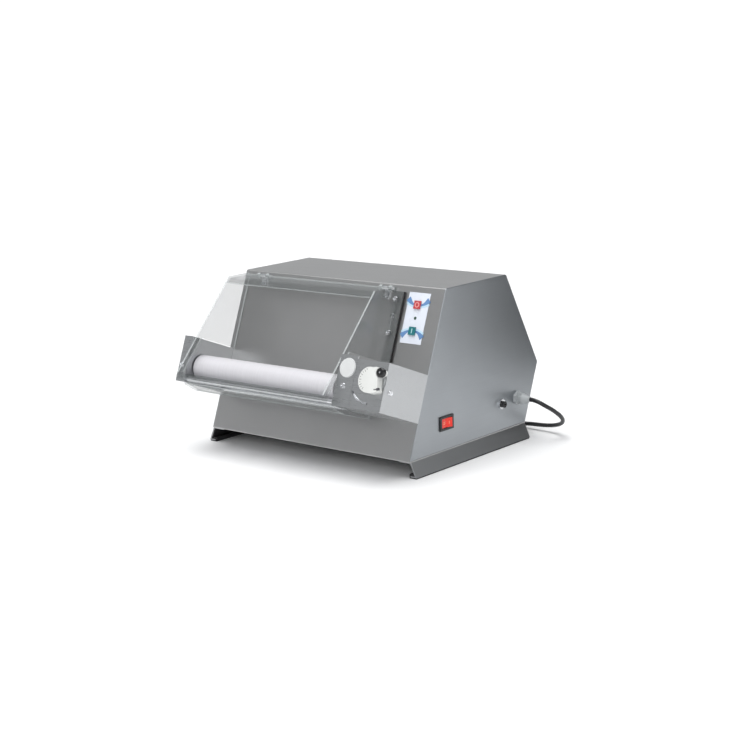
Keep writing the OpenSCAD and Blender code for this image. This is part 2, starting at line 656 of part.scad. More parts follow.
// Direction of the guard's front edges, from the strip down to the front bar, as (s, d)
edge = unit([bar_s + bar_h, bar_d] - strip_end);
edge_in = [-edge[1], edge[0]];
knuckle_r = hinge_d / 2 + 2;
// A knuckle on each side of each hinge bracket
knuckle_xs = [for (x = hinge_xs, k = [-1, 1])
  let (mid = x + k * (hinge_w / 2 + 1 + knuckle_w / 2)) [mid - knuckle_w / 2, mid + knuckle_w / 2]];

// Side panel: from the hinge down to s = low above the unit, and an arm on to the front bar
arm_p = strip_end + arm_w * edge_in;
module guard_side(x0, low) x_plate(x0, x0 + guard_t) polygon([
  hinge + [3.5, -3.5], hinge + strip_up * rise, strip_end, [bar_s + bar_h, bar_d], [bar_s, bar_d],
  [bar_s, bar_d - bar_deep], meet(arm_p, edge, [bar_s, bar_d - bar_deep], [1, 0]),
  meet(arm_p, edge, [low, 0], [0, 1]), [low, foot_d], [hinge_s - 3, foot_d]]);

module upper_guard() color([0.85, 0.92, 0.92, 0.35]) on_slope() difference() {
  union() {
    guard_side(guard_x0, unit_top + 1);
    guard_side(guard_x1 - guard_t, guard_low);
    // Top strip and its downturned lip
    x_plate(guard_x0, guard_x1) let (back = hinge + strip_up * rise + 3.2 * lean, tip = strip_end + lip_len * edge)
      polygon([back, strip_end, tip, tip + guard_t * edge_in,
        meet(tip + guard_t * edge_in, edge, back - guard_t * rise, lean), back - guard_t * rise]);
    // Front bar, an angle that ties the side panels together
    x_plate(guard_x0, guard_x1) polygon([
      [bar_s, bar_d - bar_deep], [bar_s, bar_d], [bar_s + bar_h, bar_d], [bar_s + bar_h, bar_d - guard_t],
      [bar_s + guard_t, bar_d - guard_t], [bar_s + guard_t, bar_d - bar_deep]]);
    // Flange that lies along the front
    block([guard_x1 - guard_t, foot_s[0], foot_d], [foot_x1, foot_s[1], foot_d + foot_t]);
    for (x = knuckle_xs) x_rod(x[0], x[1], hinge_s, hinge_h, knuckle_r);
  }
  x_rod(guard_x0 - 5, guard_x1 + 5, hinge_s, hinge_h, hinge_d / 2 + running);
  for (x = hinge_xs) x_rod(x - hinge_w / 2 - 0.8, x + hinge_w / 2 + 0.8, hinge_s, hinge_h, knuckle_r + 1);
  for (p = foot_screws) hole_z(p[0], p[1], screw_r + slip);
}

// Black strip along the flange's outer edge
module guard_seal() color("black") on_slope()
  block([foot_x1, foot_s[0], foot_d - 0.6], [foot_x1 + 1.3, foot_s[1], foot_d + foot_t + 0.6]);

// Brackets on the casing and the rods that the guard turns on
module guard_hinges() color("silver") on_slope() for (x = hinge_xs) {
  difference() {
    union() {
      block([x - hinge_w / 2, hinge_s - 17, 0.05], [x + hinge_w / 2, hinge_s + 3, hinge_t]);
      block([x - hinge_w / 2, hinge_s - 3, hinge_t - 1], [x + hinge_w / 2, hinge_s + 3, hinge_h]);
      x_rod(x - hinge_w / 2, x + hinge_w / 2, hinge_s, hinge_h, 3.5);
    }
    hole_z(x, hinge_screw_s, screw_r + slip);
  }
  x_rod(x - hinge_w / 2 - knuckle_w - 1.5, x + hinge_w / 2 + knuckle_w + 1.5, hinge_s, hinge_h, hinge_d / 2);
}

module guard_screws() color("gainsboro") on_slope()
  for (p = foot_screws) translate([p[0], p[1], foot_d + foot_t]) screw(foot_t + 0.6);

// Magnet under the guard's flange, and the sealed switch behind the front that reads it
magnet_s = hinge_s - 43;
module guard_magnet() color("dimgray") on_slope()
  translate([foot_screw_x, magnet_s, 0.2]) cylinder(h = foot_d - 0.2, r = 4);
module guard_sensor() color("orange") on_slope()
  block([foot_screw_x - 8, magnet_s - 14, -sheet_t - 10], [foot_screw_x + 8, magnet_s + 14, -sheet_t]);

// Clear cheeks and lip below the rollers
module outlet_guard() color([0.85, 0.92, 0.92, 0.35]) on_slope() {
  for (x = [wall_left_x - wall_t, wall_right_x - 1]) x_plate(x, x + 3) polygon([
    [unit_low - 0.1, 2], [unit_low - 0.1, unit_d - 3], [unit_low - 4, unit_d - 6],
    [unit_low - 9, unit_d - 32], [unit_low - 5, 2]]);
  x_plate(wall_left_x - wall_t, wall_right_x + 2) polygon([
    [unit_low - 0.1, unit_d - 6], [unit_low - 0.1, unit_d - 3], [unit_low - 4, unit_d - 6],
    [unit_low - 9, unit_d - 32], [unit_low - 6.5, unit_d - 33], [unit_low - 1.6, unit_d - 8]]);
}

// ---------- controls ----------

module control_label() color("white") on_slope() difference() {
  block([label_x - label_w / 2, label_s - label_h / 2, 0.05], [label_x + label_w / 2, label_s + label_h / 2, label_t]);
  for (k = [-1, 1]) hole_z(label_x, label_s + k * key_pitch, stem_r + slip);
  hole_z(label_x, label_s, led_r + slip);
}

// A square key on a stem that reaches the board behind the front
board_d = -14;
module key(s) on_slope() {
  translate([label_x, s, label_t + 1]) linear_extrude(key_t - 1) square(key_w, center = true);
  translate([label_x, s, board_d + 3.8]) cylinder(h = label_t + 2 - board_d - 3.8, r = stem_r);
}
module stop_button() color("red") key(label_s + key_pitch);
module start_button() color("teal") key(label_s - key_pitch);

module control_board() color("darkgreen") on_slope() {
  block([label_x - 24, label_s - 44, board_d - 1.6], [label_x + 24, label_s + 44, board_d]);
  for (k = [-1, 1]) translate([label_x, label_s + k * key_pitch, board_d])
    linear_extrude(2) square(8, center = true);
  translate([label_x, label_s, board_d]) cylinder(h = label_t + 0.8 - board_d, r = led_r);
  for (i = [-1, 1], j = [-1, 1]) translate([label_x + i * 20, label_s + j * 40, board_d])
    cylinder(h = -sheet_t - board_d, r = 3);
  block([label_x - 12, label_s - 14, board_d - 17], [label_x + 14, label_s + 12, board_d - 1.6]);
}

rocker_pivot = 3.5;
rocker_rest = -8;
module rocker_frame() color("black") in_casing() difference() {
  union() {
    x_plate(half_w, half_w + 2.4) translate(switch_pos) square([switch_w, switch_h], center = true);
    x_plate(half_w - 26, half_w) translate(switch_pos) square(switch_hole - [0.4, 0.4], center = true);
    x_plate(half_w - 34, half_w - 26) translate(switch_pos) {
      translate([-9, 0]) square([1, 6], center = true);
      square([1, 6], center = true);
      translate([9, 0]) square([1, 6], center = true);
    }
  }
  x_plate(half_w - 15, half_w + 5) translate(switch_pos) square([switch_w - 8, switch_h - 7], center = true);
}

module rocker() color("red") in_casing()
  translate([half_w - rocker_pivot, switch_pos[0], switch_pos[1]]) rotate([0, 0, rocker_rest]) {
    translate([0, 0, -(switch_h - 8) / 2]) linear_extrude(switch_h - 8) polygon([
      [-5, -4], [-5, 4], [2.6, switch_w / 2 - 5], [6.4, switch_w / 2 - 5.4], [4, 0],
      [6.4, -switch_w / 2 + 5.4], [2.6, -switch_w / 2 + 5]]);
    // Pivot that it rocks on
    cylinder(h = switch_h - 7.2, r = 1.8, center = true);
  }

module fuse_holder() color("silver") in_casing() {
  x_tube(half_w, half_w + 3, fuse_pos[0], fuse_pos[1], fuse_r + 2.2, fuse_r - 1);
  difference() {
    x_rod(half_w - 32, half_w, fuse_pos[0], fuse_pos[1], fuse_r);
    x_rod(half_w - 28, half_w + 1, fuse_pos[0], fuse_pos[1], fuse_r - 1);
  }
}
module fuse_cap() color("black") in_casing() difference() {
  union() {
    x_rod(half_w - 24, half_w + 3, fuse_pos[0], fuse_pos[1], fuse_r - 1 - running);
    x_rod(half_w + 3 + gap, half_w + 8, fuse_pos[0], fuse_pos[1], fuse_r - 0.6);
    x_rod(half_w + 2, half_w + 4, fuse_pos[0], fuse_pos[1], fuse_r - 1 - running);
  }
  block([half_w + 6.4, fuse_pos[0] - 4, fuse_pos[1] - 0.6], [half_w + 9, fuse_pos[0] + 4, fuse_pos[1] + 0.6]);
}

// ---------- lead ----------

module x_hex(x0, x1, y, z, flats) translate([x0, y, z]) rotate([0, 90, 0])
  cylinder(h = x1 - x0, r = flats / sqrt(3), $fn = 6);

module cable_gland() color("lightgray") in_casing() difference() {
  union() {
    x_hex(half_w, half_w + 6, gland_pos[0], gland_pos[1], 20);
    x_rod(half_w - 12, half_w, gland_pos[0], gland_pos[1], gland_r);
    x_hex(half_w - sheet_t - 6, half_w - sheet_t - 0.1, gland_pos[0], gland_pos[1], 20);
  }
  x_rod(half_w - 20, half_w + 20, gland_pos[0], gland_pos[1], cord_d / 2 + 0.5);
}

// Clamping cap that tapers to the lead
module gland_cap() color("lightgray") in_casing() difference() {
  translate([half_w + 6, gland_pos[0], gland_pos[1]]) rotate([0, 90, 0]) {
    cylinder(h = 9, r = 9);
    translate([0, 0, 9]) cylinder(h = gland_len - 15, r1 = 9, r2 = cord_d / 2 + 1.2);
  }
  x_rod(half_w, half_w + gland_len - 0.5, gland_pos[0], gland_pos[1], cord_d / 2 + 0.1);
}

// Points of a smooth curve through a route, n to each stretch
function catmull(p0, p1, p2, p3, t) = 0.5 * (2 * p1 + (p2 - p0) * t
  + (2 * p0 - 5 * p1 + 4 * p2 - p3) * t * t + (3 * p1 - p0 - 3 * p2 + p3) * t * t * t);
function smooth(p, n) = let (m = len(p) - 1) [
  for (i = [0:m - 1], k = [0:n - 1])
    catmull(p[max(i - 1, 0)], p[i], p[i + 1], p[min(i + 2, m)], k / n), p[m]];
function side_of(t) = unit(cross([0, 0, 1], t));
// A round tube along a route: one ring of points at each place, and a cap at each end
module tube(route, r, sides = 10) {
  m = len(route) - 1;
  rings = [for (i = [0:m]) let (
    t = unit(route[min(i + 1, m)] - route[max(i - 1, 0)]), u = side_of(t), v = cross(t, u))
    each [for (k = [0:sides - 1]) route[i] + r * (cos(360 * k / sides) * u + sin(360 * k / sides) * v)]];
  polyhedron(rings, concat(
    [[for (k = [0:sides - 1]) k]],
    [for (i = [0:m - 1], k = [0:sides - 1]) let (a = i * sides, j = (k + 1) % sides)
      [a + k, a + sides + k, a + sides + j, a + j]],
    [[for (k = [sides - 1:-1:0]) m * sides + k]]));
}

// The route's heights stretch with the gland's height above the bench
function laid(route, k = 1) = [for (p = route) [gland_tip[0] + p[0], gland_tip[1] + p[1], cord_d / 2 + p[2] * k]];
lead_points = laid(lead_route, (gland_tip[2] - cord_d / 2) / lead_route[0][2]);
tail_points = laid(tail_route);
module at_coil() translate([gland_tip[0] + coil_pos[0], gland_tip[1] + coil_pos[1], 0]) children();

module power_cord() color("black") tube(smooth(lead_points, 2), cord_d / 2);
module cord_tail() color("black") tube(smooth(tail_points, 1), cord_d / 2);

// Six turns, three beside each other on two levels
module cord_coil() color("black") at_coil() rotate_extrude($fn = 64)
  translate([coil_r - 1.5 * cord_d, 0]) square([3 * cord_d, 2 * cord_d]);

module cord_tie() color("dimgray") at_coil() translate([-coil_r, 0, 0]) difference() {
  block([-1.5 * cord_d - 1.2, -4, 0], [1.5 * cord_d + 1.2, 4, 2 * cord_d + 1.2]);
  block([-1.5 * cord_d, -9, -1], [1.5 * cord_d, 9, 2 * cord_d]);
}

plug_x = tail_points[len(tail_points) - 1][0];
plug_y = tail_points[len(tail_points) - 1][1];
plug_z = tail_points[len(tail_points) - 1][2];
module mains_plug() color("black") translate([plug_x, plug_y, plug_z]) rotate([0, 90, 0]) {
  cylinder(h = 18, r1 = cord_d / 2 + 1.5, r2 = 9);
  translate([0, 0, 18]) cylinder(h = 10, r1 = 12, r2 = plug_z - 0.2);
  translate([0, 0, 28]) cylinder(h = 16, r = plug_z - 0.2);
}
module plug_pins() color("silver") for (k = [-1, 1])
  x_rod(plug_x + 44, plug_x + 63, plug_y + k * 9.5, plug_z, 2.4);

body_shell();
side_panel_left();
side_panel_right();
base_plate();
skid_left();
skid_right();
skid_rubbers();
unit_wall_left();
unit_wall_right();
left_end_cover();
drive_cover();
cover_cap();
m5_screws();
tie_bars();
rear_roller();
rear_roller_shaft();
front_roller();
front_roller_shaft();
rear_roller_bushes();
slide_block_left();
slide_block_right();
rear_gear();
front_gear();
roller_pulley();
drive_belt();
motor_pulley();
motor_housing();
motor_rotor();
gearbox_housing();
output_shaft();
motor_bracket();
roller_scrapers();
adjuster_dial();
adjuster_screw();
adjuster_yoke();
index_plunger();
plunger_spring();
upper_guard();
guard_seal();
guard_hinges();
guard_screws();
guard_magnet();
guard_sensor();
outlet_guard();
control_label();
stop_button();
start_button();
control_board();
rocker_frame();
rocker();
fuse_holder();
fuse_cap();
cable_gland();
gland_cap();
power_cord();
cord_coil();
cord_tie();
cord_tail();
mains_plug();
plug_pins();
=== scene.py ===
"""Looks of a tabletop dough sheeter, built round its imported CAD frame. Every length is in metres."""

import json
import math

import bmesh
import bpy
from mathutils import Matrix, Vector


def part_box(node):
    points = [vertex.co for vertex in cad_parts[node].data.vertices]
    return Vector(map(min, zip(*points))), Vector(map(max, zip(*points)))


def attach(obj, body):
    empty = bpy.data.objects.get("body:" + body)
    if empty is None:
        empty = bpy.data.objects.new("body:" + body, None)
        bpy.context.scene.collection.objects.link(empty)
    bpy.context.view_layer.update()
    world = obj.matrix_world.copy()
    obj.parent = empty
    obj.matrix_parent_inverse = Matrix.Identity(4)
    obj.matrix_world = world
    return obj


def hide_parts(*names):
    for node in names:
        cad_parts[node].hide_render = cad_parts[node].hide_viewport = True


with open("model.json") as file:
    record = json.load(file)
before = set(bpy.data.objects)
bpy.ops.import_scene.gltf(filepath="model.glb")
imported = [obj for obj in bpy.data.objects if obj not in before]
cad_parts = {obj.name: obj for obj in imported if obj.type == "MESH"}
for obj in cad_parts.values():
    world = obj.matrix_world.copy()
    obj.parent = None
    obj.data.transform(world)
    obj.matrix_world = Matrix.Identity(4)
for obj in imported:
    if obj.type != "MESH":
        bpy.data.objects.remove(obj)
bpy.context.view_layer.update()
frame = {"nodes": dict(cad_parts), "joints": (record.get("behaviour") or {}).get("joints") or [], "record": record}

MM = 0.001
SAME_PLACE = 1e-6
FLAT = math.radians(1)      # faces that meet within this are one flat face
CORNER = math.radians(32)   # edges sharper than this are bevelled
NODES = frame["nodes"]
BODY_OF = {n: b for b, names in frame["record"]["behaviour"]["bodies"].items() for n in names}
JOINTS = {j["name"]: j for j in frame["joints"]}
SCENE = bpy.context.scene

# The leaning front: X across, UP along it, OUT of it, from its bottom edge
ACROSS = Vector((1, 0, 0))
OUT = Vector(JOINTS["carriage_slide"]["axis"]).normalized()
UP = OUT.cross(ACROSS)
SIDE_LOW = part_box("side_panel_right")[0]
FRONT_EDGE = Vector((0, SIDE_LOW.y, SIDE_LOW.z))


def on_front(x, s, d):
    """A point given in millimetres across, up and out of the leaning front."""
    return FRONT_EDGE + (ACROSS * x + UP * s + OUT * d) * MM


def front_of(point):
    """(x, s, d) in millimetres of a point in the shared frame."""
    v = (point - FRONT_EDGE) / MM
    return v.dot(ACROSS), v.dot(UP), v.dot(OUT)


def frame_point(joint):
    """The place of a joint's axis in the shared frame."""
    return Vector(JOINTS[joint]["pos_m"])


def span(node):
    """Lowest and highest (x, s, d) of a node in the leaning front's own directions, in millimetres."""
    spots = [front_of(v.co) for v in NODES[node].data.vertices]
    return [min(c) for c in zip(*spots)], [max(c) for c in zip(*spots)]


# ---------- camera ----------

CAMERA_AT = Vector((1.7768, -2.0572, 0.6969))
CAMERA_YAW, CAMERA_PITCH, CAMERA_ROLL = (math.radians(a) for a in (40.339, 11.903, -1.942))
CAMERA_LENS = 81.07


def add_camera():
    """The photograph's camera, as fitted."""
    a, e, r = CAMERA_YAW, CAMERA_PITCH, CAMERA_ROLL
    ahead = Vector((-math.sin(a) * math.cos(e), math.cos(a) * math.cos(e), -math.sin(e)))
    level = Vector((math.cos(a), math.sin(a), 0))
    above = level.cross(ahead)
    right = level * math.cos(r) + above * math.sin(r)
    top = above * math.cos(r) - level * math.sin(r)
    data = bpy.data.cameras.new("camera")
    data.lens = CAMERA_LENS
    data.sensor_width = 36
    data.clip_start = 0.05
    camera = bpy.data.objects.new("camera", data)
    SCENE.collection.objects.link(camera)
    turn = Matrix((right, top, -ahead)).transposed().to_4x4()
    camera.matrix_world = Matrix.Translation(CAMERA_AT) @ turn
    SCENE.camera = camera


add_camera()

# ---------- materials ----------


class Look:
    """A procedural material: a Principled shader, and the nodes that feed it."""

    def __init__(self, name, color, rough, metal=0.0, **sockets):
        self.material = bpy.data.materials.new(name)
        self.material.use_nodes = True
        self.tree = self.material.node_tree
        self.shader = self.tree.nodes["Principled BSDF"]
        self.set("Base Color", (*color, 1))
        self.set("Roughness", rough)
        self.set("Metallic", metal)
        self.color = color
        self.rough = rough
        for socket, value in sockets.items():
            self.set(socket.replace("_", " ").title().replace("Ior", "IOR"), value)

    def set(self, socket, value):
        self.shader.inputs[socket].default_value = value

    def node(self, kind, **inputs):
        made = self.tree.nodes.new(kind)
        for name, value in inputs.items():
            made.inputs[name.replace("_", " ")].default_value = value
        return made

    def link(self, a, out, b, into):
        self.tree.links.new(a.outputs[out], b.inputs[into])

    def grain(self, stretch, detail=4.0, roughness=0.6):
        """Noise over the object's own coordinates, stretched by a scale along each axis."""
        place = self.node("ShaderNodeTexCoord")
        scaled = self.node("ShaderNodeMapping", Scale=stretch)
        noise = self.node("ShaderNodeTexNoise", Scale=1.0, Detail=detail, Roughness=roughness)
        self.link(place, "Object", scaled, "Vector")
        self.link(scaled, "Vector", noise, "Vector")
        return noise

    def ramp(self, source, low, high):
        """Maps the middle of a noise's range to a range of values."""
        made = self.node("ShaderNodeMapRange", From_Min=0.3, From_Max=0.7, To_Min=low, To_Max=high)
        self.link(source, 0, made, "Value")
        return made

    def vary_rough(self, source, spread):
        self.link(self.ramp(source, self.rough - spread, self.rough + spread), 0, self.shader, "Roughness")

    def vary_color(self, source, other):
        mix = self.node("ShaderNodeMix")
        mix.data_type = "RGBA"
        mix.inputs["A"].default_value = (*self.color, 1)
        mix.inputs["B"].default_value = (*other, 1)
        self.link(self.ramp(source, 0, 1), 0, mix, "Factor")
        self.link(mix, "Result", self.shader, "Base Color")

    def bump(self, source, strength, distance):
        made = self.node("ShaderNodeBump", Strength=strength, Distance=distance)
        self.link(source, 0, made, "Height")
        self.link(made, 0, self.shader, "Normal")


def steel(name, shade, rough, stretch, tint=(1.0, 1.0, 1.0)):
    """Satin stainless sheet, brushed across the two axes that stretch squeezes."""
    color = tuple(shade * t for t in tint)
    look = Look(name, color, rough, metal=1.0)
    brushed = look.grain(stretch, detail=6.0, roughness=0.7)
    cloudy = look.grain((6, 6, 6), detail=3.0)
    look.vary_rough(brushed, 0.06)
    look.vary_color(cloudy, tuple(c * 0.93 for c in color))
    look.bump(brushed, 0.12, 0.00006)
    return look.material


def plastic(name, color, rough, **sockets):
    """Moulded plastic with a fine texture and a slight unevenness of tone."""
    look = Look(name, color, rough, **sockets)
    texture = look.grain((1400, 1400, 1400), detail=2.0)
    tone = look.grain((18, 18, 18), detail=3.0)
    look.vary_rough(tone, 0.05)
    look.vary_color(tone, tuple(c * 0.93 for c in color))
    look.bump(texture, 0.15, 0.00003)
    return look.material


def turned(name, color, rough, metal, along=(900, 12, 12)):
    """Turned bar: fine rings round its axis."""
    look = Look(name, color, rough, metal=metal)
    rings = look.grain(along, detail=3.0)
    look.vary_rough(rings, 0.06)
    look.vary_color(rings, tuple(c * 0.9 for c in color))
    look.bump(rings, 0.1, 0.00005)
    return look.material


def clear(name, color, alpha, grazing, rough=0.05):
    """Clear polycarbonate sheet: see-through face on, glossier and less so at a grazing angle."""
    look = Look(name, color, rough, specular_ior_level=0.9)
    facing = look.node("ShaderNodeLayerWeight", Blend=0.3)
    smear = look.grain((25, 25, 25), detail=3.0)
    look.vary_rough(smear, 0.02)
    opacity = look.node("ShaderNodeMapRange", To_Min=alpha, To_Max=grazing)
    look.link(facing, "Facing", opacity, "Value")
    look.link(opacity, 0, look.shader, "Alpha")
    return look.material


ALONG_X = (10, 900, 900)
ALONG_Y = (900, 10, 900)
M = {
    "casing": steel("casing_steel", 0.46, 0.36, ALONG_X),
    # The side panels and the skids are darker copies of the casing steel, the sides slightly bluer: painted shade
    # for how light falls on them.
    "side": steel("side_steel_painted_shade", 0.375, 0.38, ALONG_Y, (0.95, 1.0, 1.05)),
    "skid": steel("skid_steel", 0.36, 0.4, ALONG_Y, (0.98, 1.0, 1.02)),
    "unit": steel("unit_steel", 0.5, 0.3, ALONG_X, (0.98, 1.0, 1.02)),
    "bright": turned("turned_steel", (0.72, 0.73, 0.75), 0.18, 1.0),
    "zinc": turned("zinc_plate", (0.75, 0.76, 0.78), 0.22, 1.0, (300, 300, 300)),
    "roller": turned("roller_plastic", (0.65, 0.64, 0.67), 0.34, 0.0, (500, 6, 6)),
    "nylon": plastic("white_nylon", (0.7, 0.71, 0.69), 0.38),
    "cap": plastic("cap_white", (0.62, 0.63, 0.63), 0.4),
    "rubber": plastic("black_rubber", (0.012, 0.012, 0.013), 0.6),
    "black": plastic("black_plastic", (0.008, 0.008, 0.009), 0.22),
    "switch_black": plastic("switch_black", (0.015, 0.015, 0.016), 0.42),
    # The rocker's faint red emission is a painted glow that brightens its red.
    "red": plastic("rocker_red_painted_glow", (0.72, 0.018, 0.006), 0.3,
                   emission_color=(1, 0.04, 0.01, 1), emission_strength=0.12),
    "rocker_mark": plastic("rocker_mark", (0.85, 0.35, 0.2), 0.4),
    "ink": plastic("graduation_ink", (0.03, 0.03, 0.035), 0.5),
    "cord": plastic("cord_black", (0.012, 0.012, 0.014), 0.38),
    "plug": plastic("plug_black", (0.014, 0.014, 0.015), 0.42),
    "pale_blue": plastic("label_pale_blue", (0.52, 0.72, 0.86), 0.35),
    "stop_mark": plastic("stop_mark_pink", (0.82, 0.36, 0.34), 0.35),
    "start_mark": plastic("start_mark_pale", (0.42, 0.66, 0.68), 0.35),
    "gland": plastic("gland_grey", (0.42, 0.44, 0.45), 0.4),
    "film": plastic("label_film", (0.74, 0.78, 0.86), 0.3),
    "stop": plastic("stop_red", (0.5, 0.05, 0.06), 0.35),
    "start": plastic("start_green", (0.015, 0.17, 0.19), 0.35),
    "blue": plastic("label_blue", (0.13, 0.26, 0.5), 0.35),
    "lamp": plastic("lamp_lens", (0.05, 0.09, 0.07), 0.15),
    "bronze": turned("bush_bronze", (0.42, 0.27, 0.11), 0.35, 1.0),
    "gear": turned("gear_steel", (0.2, 0.2, 0.21), 0.38, 1.0),
    "cast": plastic("cast_alloy", (0.5, 0.51, 0.52), 0.45, metallic=1.0),
    "motor": plastic("motor_paint", (0.035, 0.045, 0.06), 0.4),
    "dark_pin": turned("pin_steel", (0.16, 0.16, 0.17), 0.35, 1.0, (300, 300, 300)),
    "core": turned("rotor_core", (0.28, 0.28, 0.29), 0.4, 1.0),
    "board": plastic("board_green", (0.012, 0.09, 0.04), 0.35),
    "sensor": plastic("sensor_orange", (0.5, 0.16, 0.02), 0.45),
    "pins": turned("pin_plate", (0.7, 0.66, 0.56), 0.2, 1.0),
    "clear": clear("clear_sheet", (0.12, 0.135, 0.135), 0.17, 0.38),
    # Cut edges and bends: a paler, denser sheet, which is a painted highlight.
    "clear_edge_painted_highlight": clear("clear_edge_painted_highlight", (0.62, 0.66, 0.66), 0.5, 0.75, 0.1),
}

# ---------- helpers ----------


def finish_piece(piece, body, stands_for=(), material=None):
    """Puts a new piece on its body, in the place of the CAD nodes that it stands for."""
    SCENE.collection.objects.link(piece)
    if material:
        piece.data.materials.append(M[material])
    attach(piece, body)
    if stands_for:
        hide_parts(*stands_for)
    return piece


def from_bmesh(name, bm, smooth_angle=35):
    """A mesh object from a bmesh, smooth except at its corners."""
    bmesh.ops.recalc_face_normals(bm, faces=bm.faces)
    mesh = bpy.data.meshes.new(name)
    bm.to_mesh(mesh)
    bm.free()
    mesh.shade_smooth()
    mesh.set_sharp_from_angle(angle=math.radians(smooth_angle))
    return bpy.data.objects.new(name, mesh)


def bevelled(piece, width, segments):
    """Rounds a piece's corners by a width, in metres."""
    bevel = piece.modifiers.new("bevel", "BEVEL")
    bevel.width = width
    bevel.segments = segments
    bevel.limit_method = "ANGLE"
    bevel.angle_limit = CORNER
    bevel.harden_normals = True
    return bevel


def soften(node, material, width=0.0005, segments=2):
    """A CAD node keeps its shape, with its corners bevelled, and gets its material."""
    piece = NODES[node]
    flat = piece.modifiers.new("flat", "DECIMATE")
    flat.decimate_type = "DISSOLVE"
    flat.angle_limit = FLAT
    bevelled(piece, width, segments)
    piece.data.shade_smooth()
    piece.data.materials.clear()
    piece.data.materials.append(M[material])


def flat_faced(node):
    """A bmesh of a CAD node, with each flat side as one face."""
    bm = bmesh.new()
    bm.from_mesh(NODES[node].data)
    bmesh.ops.remove_doubles(bm, verts=bm.verts, dist=SAME_PLACE)
    bmesh.ops.dissolve_limit(bm, angle_limit=FLAT, verts=bm.verts, edges=bm.edges)
    bm.normal_update()
    return bm


def axes(axis):
    """A rotation that takes +Z to axis."""
    return Vector((0, 0, 1)).rotation_difference(Vector(axis)).to_matrix().to_4x4()


def lathe(name, profile, at, axis, around=48):
    """A solid of revolution: (distance along the axis, radius) points, in millimetres."""
    bm = bmesh.new()
    rings = []
    for z, r in profile:
        if r < SAME_PLACE:
            rings.append([bm.verts.new((0, 0, z * MM))])
        else:
            turns = [2 * math.pi * k / around for k in range(around)]
            rings.append([bm.verts.new((r * MM * math.cos(t), r * MM * math.sin(t), z * MM)) for t in turns])
    for low, high in zip(rings, rings[1:]):
        for k in range(around):
            a = [low[k % len(low)], low[(k + 1) % len(low)]]
            b = [high[(k + 1) % len(high)], high[k % len(high)]]
            corners = list(dict.fromkeys(a + b))
            if len(corners) > 2:
                bm.faces.new(corners)
    for end in (rings[0], rings[-1]):
        if len(end) > 1:
            bm.faces.new(end)
    bm.transform(Matrix.Translation(at) @ axes(axis))
    return from_bmesh(name, bm)


def arc(z0, r0, z1, r1, steps=6, bulge=True):
    """A quarter round from (z0, r0) to (z1, r1) of a lathe's profile."""
    out = []
    for k in range(steps + 1):
        t = math.pi / 2 * k / steps
        u, v = (math.sin(t), 1 - math.cos(t)) if bulge else (1 - math.cos(t), math.sin(t))
        out.append((z0 + (z1 - z0) * u, r0 + (r1 - r0) * v))
    return out


# ---------- lead ----------

CORD_D = 0.007
CORD_R = CORD_D / 2
GLAND_TIP = Vector((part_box("gland_cap")[1].x, *[sum(c) / 2 for c in zip(*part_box("gland_cap"))][1:]))
# Routes from the gland's tip, in millimetres: x, y, and the height above the lying level
LEAD_ROUTE = [
    (0, 0, 69.5), (10, 0, 68.6), (19, 1.5, 65.5), (26, 7, 60), (31, 16, 53.5), (33, 26, 46.5),
    (33, 38, 38.5), (30, 50, 30), (24, 59, 22.5), (14, 66, 16), (0, 71, 11), (-16, 74, 8),
    (-32, 75, 6.5), (-48, 76.5, 5.5), (-64, 78, 4), (-82, 81, 1.5), (-102, 85, 0), (-124, 89, 0),
    (-148, 92, 0), (-172, 94, 0), (-196, 94, 0), (-220, 93, 0), (-246, 89, 0), (-272, 87, 0)]
TAIL_ROUTE = [
    (-272, 177, 7), (-260, 177, 7), (-248, 177, 8.5), (-236, 176, 11.5), (-224, 174, 14), (-212, 173, 14.5)]
COIL_AT = (-272, 132)
COIL_R = 45
COIL_TURNS = 5.5
COIL_PITCH = 7      # from one turn to the next, beside it or on top of it
TURN_STEPS = 16


def laid(point):
    """A route's point in the shared frame."""
    x, y, height = point
    return Vector((GLAND_TIP.x + x * MM, GLAND_TIP.y + y * MM, CORD_R + height * MM))


def ease(t):
    """Goes from 0 to 1 with no corner at either end."""
    t = min(1.0, max(0.0, t))
    return t * t * (3 - 2 * t)


def coil_points():
    """Turns that lie beside each other inwards, step up, and run outwards again."""
    points = []
    steps = int(COIL_TURNS * TURN_STEPS)
    for k in range(1, steps):
        t = k / TURN_STEPS
        inward = COIL_R - COIL_PITCH * min(t, 2.25)
        radius = inward + COIL_PITCH * min(2.25, max(0.0, t - 2.75))
        angle = -math.pi / 2 - 2 * math.pi * t
        x, y = radius * math.cos(angle), radius * math.sin(angle)
        points.append((COIL_AT[0] + x, COIL_AT[1] + y, COIL_PITCH * ease((t - 2.0) / 0.6)))
    return points


def catmull(points, steps):
    """Points of a smooth curve through the given ones."""
    out = []
    ends = [points[0]] + points + [points[-1]]
    for p0, p1, p2, p3 in zip(ends, ends[1:], ends[2:], ends[3:]):
        for k in range(steps):
            t = k / steps
            out.append(0.5 * (2 * p1 + (p2 - p0) * t + (2 * p0 - 5 * p1 + 4 * p2 - p3) * t * t
                              + (3 * p1 - p0 - 3 * p2 + p3) * t ** 3))
    return out + [points[-1]]


def add_cord():
    """The lead from the gland to the plug, as one round curve."""
    route = catmull([laid(p) for p in LEAD_ROUTE + coil_points() + TAIL_ROUTE], 4)
    data = bpy.data.curves.new("mains_lead", "CURVE")
    data.dimensions = "3D"
    data.bevel_depth = CORD_R
    data.bevel_resolution = 5
    data.use_fill_caps = True
    spline = data.splines.new("POLY")
    spline.points.add(len(route) - 1)
    for place, point in zip(spline.points, route):
        place.co = (*point, 1)
    return finish_piece(bpy.data.objects.new("mains_lead", data), "casing",
                        ("power_cord", "cord_coil", "cord_tail"), "cord")


LEAD = add_cord()

# ---------- casing ----------

for node in ("body_shell", "base_plate"):
    soften(node, "casing", 0.0005)


